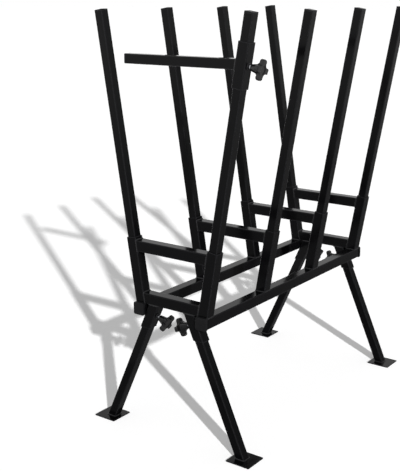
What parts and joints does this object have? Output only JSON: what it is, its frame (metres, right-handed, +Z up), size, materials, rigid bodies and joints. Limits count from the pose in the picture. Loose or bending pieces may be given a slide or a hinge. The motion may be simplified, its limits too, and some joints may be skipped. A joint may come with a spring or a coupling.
{
  "type": "log saw stand",
  "caption": "Tube steel trestle whose leaning removable posts cradle a stack of logs for sawing, with splayed plug-in legs and a sliding hold-down arm.",
  "frame": {"origin": "on the floor, midway between the four feet", "axes": "+X along the rails from the front end to the rear end, +Y across to the left, +Z up"},
  "size_m": [0.874, 0.5269, 1.1229],
  "materials": {
    "powder_coat": "black satin powder coat on steel tube",
    "cap_plastic": "matt black moulded plastic",
    "knob_plastic": "fine-grained dark grey moulded plastic",
    "zinc_steel": "bright zinc-plated steel"
  },
  "bodies": {
    "frame": {"rail_left": "powder_coat", "rail_right": "powder_coat", "rail_end_caps": "cap_plastic", "socket_1_left": "powder_coat", "socket_1_right": "powder_coat", "socket_2_left": "powder_coat", "socket_2_right": "powder_coat", "socket_3_left": "powder_coat", "socket_3_right": "powder_coat", "socket_4_left": "powder_coat", "socket_4_right": "powder_coat", "upper_crossbar_1": "powder_coat", "upper_crossbar_2": "powder_coat", "upper_crossbar_3": "powder_coat", "upper_crossbar_4": "powder_coat", "lower_crossbar_front": "powder_coat", "lower_crossbar_rear": "powder_coat", "leg_socket_front_left": "powder_coat", "leg_socket_front_right": "powder_coat", "leg_socket_rear_left": "powder_coat", "leg_socket_rear_right": "powder_coat", "leg_nuts": "powder_coat"},
    "post_1_left": {"post_1_left": "powder_coat", "post_plug_1_left": "cap_plastic"},
    "post_1_right": {"post_1_right": "powder_coat", "post_plug_1_right": "cap_plastic"},
    "post_2_left": {"post_2_left": "powder_coat", "post_plug_2_left": "cap_plastic"},
    "post_2_right": {"post_2_right": "powder_coat", "post_plug_2_right": "cap_plastic"},
    "post_3_left": {"post_3_left": "powder_coat", "post_plug_3_left": "cap_plastic"},
    "post_3_right": {"post_3_right": "powder_coat", "post_plug_3_right": "cap_plastic"},
    "post_4_left": {"post_4_left": "powder_coat", "post_plug_4_left": "cap_plastic"},
    "post_4_right": {"post_4_right": "powder_coat", "post_plug_4_right": "cap_plastic"},
    "leg_front_left": {"leg_front_left": "powder_coat", "foot_plate_front_left": "powder_coat"},
    "leg_front_right": {"leg_front_right": "powder_coat", "foot_plate_front_right": "powder_coat"},
    "leg_rear_left": {"leg_rear_left": "powder_coat", "foot_plate_rear_left": "powder_coat"},
    "leg_rear_right": {"leg_rear_right": "powder_coat", "foot_plate_rear_right": "powder_coat"},
    "leg_knob_front_left": {"leg_knob_front_left": "knob_plastic", "leg_stud_front_left": "zinc_steel"},
    "leg_knob_front_right": {"leg_knob_front_right": "knob_plastic", "leg_stud_front_right": "zinc_steel"},
    "leg_knob_rear_left": {"leg_knob_rear_left": "knob_plastic", "leg_stud_rear_left": "zinc_steel"},
    "leg_knob_rear_right": {"leg_knob_rear_right": "knob_plastic", "leg_stud_rear_right": "zinc_steel"},
    "clamp": {"clamp_sleeve": "powder_coat", "clamp_arm": "powder_coat", "clamp_arm_plug": "cap_plastic", "clamp_nut": "powder_coat"},
    "clamp_knob": {"clamp_knob": "knob_plastic", "clamp_stud": "zinc_steel"}
  },
  "joints": [
    {"name": "post_1_left_lift", "type": "slide", "parent": "frame", "child": "post_1_left", "axis": [0, 0.165, 0.9863], "range_m": [0, 0.16]},
    {"name": "post_1_right_lift", "type": "slide", "parent": "frame", "child": "post_1_right", "axis": [0, -0.165, 0.9863], "range_m": [0, 0.16]},
    {"name": "post_2_left_lift", "type": "slide", "parent": "frame", "child": "post_2_left", "axis": [0, 0.165, 0.9863], "range_m": [0, 0.16]},
    {"name": "post_2_right_lift", "type": "slide", "parent": "frame", "child": "post_2_right", "axis": [0, -0.165, 0.9863], "range_m": [0, 0.16]},
    {"name": "post_3_left_lift", "type": "slide", "parent": "frame", "child": "post_3_left", "axis": [0, 0.165, 0.9863], "range_m": [0, 0.16]},
    {"name": "post_3_right_lift", "type": "slide", "parent": "frame", "child": "post_3_right", "axis": [0, -0.165, 0.9863], "range_m": [0, 0.16]},
    {"name": "post_4_left_lift", "type": "slide", "parent": "frame", "child": "post_4_left", "axis": [0, 0.165, 0.9863], "range_m": [0, 0.16]},
    {"name": "post_4_right_lift", "type": "slide", "parent": "frame", "child": "post_4_right", "axis": [0, -0.165, 0.9863], "range_m": [0, 0.16]},
    {"name": "clamp_slide", "type": "slide", "parent": "post_1_right", "child": "clamp", "axis": [0, -0.165, 0.9863], "range_m": [-0.12, 0.06]},
    {"name": "clamp_knob_turn", "type": "hinge", "parent": "clamp", "child": "clamp_knob", "pos_m": [-0.402, -0.22309, 0.99669], "axis": [0, -0.9863, -0.165], "range_deg": [0, 360]},
    {"name": "leg_front_left_slide", "type": "slide", "parent": "frame", "child": "leg_front_left", "axis": [0, 0.4067, -0.9135], "range_m": [0, 0.055]},
    {"name": "leg_front_right_slide", "type": "slide", "parent": "frame", "child": "leg_front_right", "axis": [0, -0.4067, -0.9135], "range_m": [0, 0.055]},
    {"name": "leg_rear_left_slide", "type": "slide", "parent": "frame", "child": "leg_rear_left", "axis": [0, 0.4067, -0.9135], "range_m": [0, 0.055]},
    {"name": "leg_rear_right_slide", "type": "slide", "parent": "frame", "child": "leg_rear_right", "axis": [0, -0.4067, -0.9135], "range_m": [0, 0.055]},
    {"name": "leg_knob_front_left_turn", "type": "hinge", "parent": "frame", "child": "leg_knob_front_left", "pos_m": [-0.402, 0.05568, 0.33232], "axis": [0, -0.9135, -0.4067], "range_deg": [0, 360]},
    {"name": "leg_knob_front_right_turn", "type": "hinge", "parent": "frame", "child": "leg_knob_front_right", "pos_m": [-0.402, -0.05568, 0.33232], "axis": [0, 0.9135, -0.4067], "range_deg": [0, 360]},
    {"name": "leg_knob_rear_left_turn", "type": "hinge", "parent": "frame", "child": "leg_knob_rear_left", "pos_m": [0.402, 0.05568, 0.33232], "axis": [0, -0.9135, -0.4067], "range_deg": [0, 360]},
    {"name": "leg_knob_rear_right_turn", "type": "hinge", "parent": "frame", "child": "leg_knob_rear_right", "pos_m": [0.402, -0.05568, 0.33232], "axis": [0, 0.9135, -0.4067], "range_deg": [0, 360]}
  ]
}
